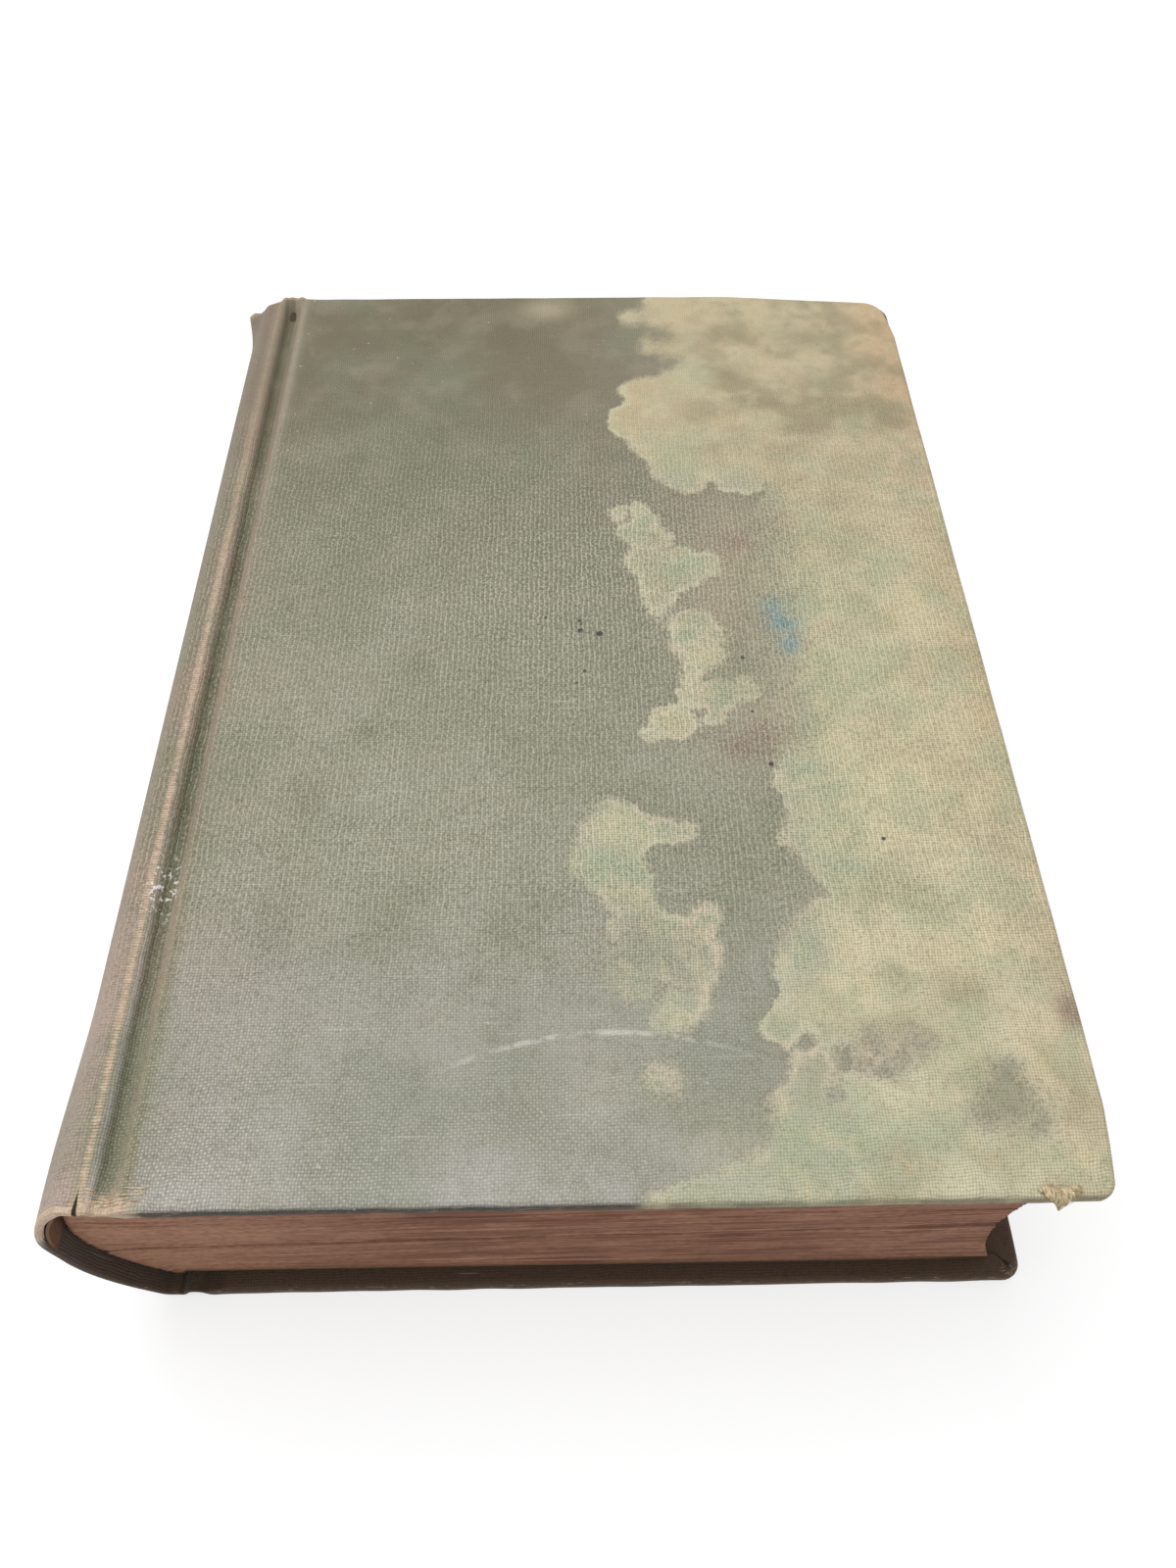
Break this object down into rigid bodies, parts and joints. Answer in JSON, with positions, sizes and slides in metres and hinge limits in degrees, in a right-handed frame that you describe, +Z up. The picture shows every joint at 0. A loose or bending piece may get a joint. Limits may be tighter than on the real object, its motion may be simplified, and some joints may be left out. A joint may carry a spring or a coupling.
{
  "type": "hardback book",
  "caption": "Old cloth-bound hardback book with a rounded and backed text block, French grooves, a hollow back and two covers that open.",
  "frame": {"origin": "centre of the closed book's box, at the plane that it lies on", "axes": "+X from the spine to the fore edge, +Y from the tail to the head, +Z up through the front cover"},
  "size_m": [0.1542, 0.21, 0.0514],
  "materials": {
    "paper_block": "matte",
    "endpaper": "matte",
    "lining_paper": "matte",
    "board": "matte",
    "book_cloth": "matte",
    "gauze": "matte"
  },
  "bodies": {
    "text_block": {"text_block": "paper_block", "front_flyleaf": "endpaper", "back_flyleaf": "endpaper", "mull": "gauze", "spine_lining": "lining_paper", "spine_inlay": "lining_paper", "spine_cloth": "book_cloth"},
    "front_cover": {"front_board": "board", "front_cloth": "book_cloth", "front_mull_flange": "gauze", "front_pastedown": "endpaper"},
    "back_cover": {"back_board": "board", "back_cloth": "book_cloth", "back_mull_flange": "gauze", "back_pastedown": "endpaper"}
  },
  "joints": [
    {"name": "front_hinge", "type": "hinge", "parent": "text_block", "child": "front_cover", "pos_m": [-0.06292, 0, 0.0514], "axis": [0, -1, 0], "range_deg": [0, 175]},
    {"name": "back_hinge", "type": "hinge", "parent": "text_block", "child": "back_cover", "pos_m": [-0.06292, 0, 0], "axis": [0, 1, 0], "range_deg": [0, 175]}
  ]
}
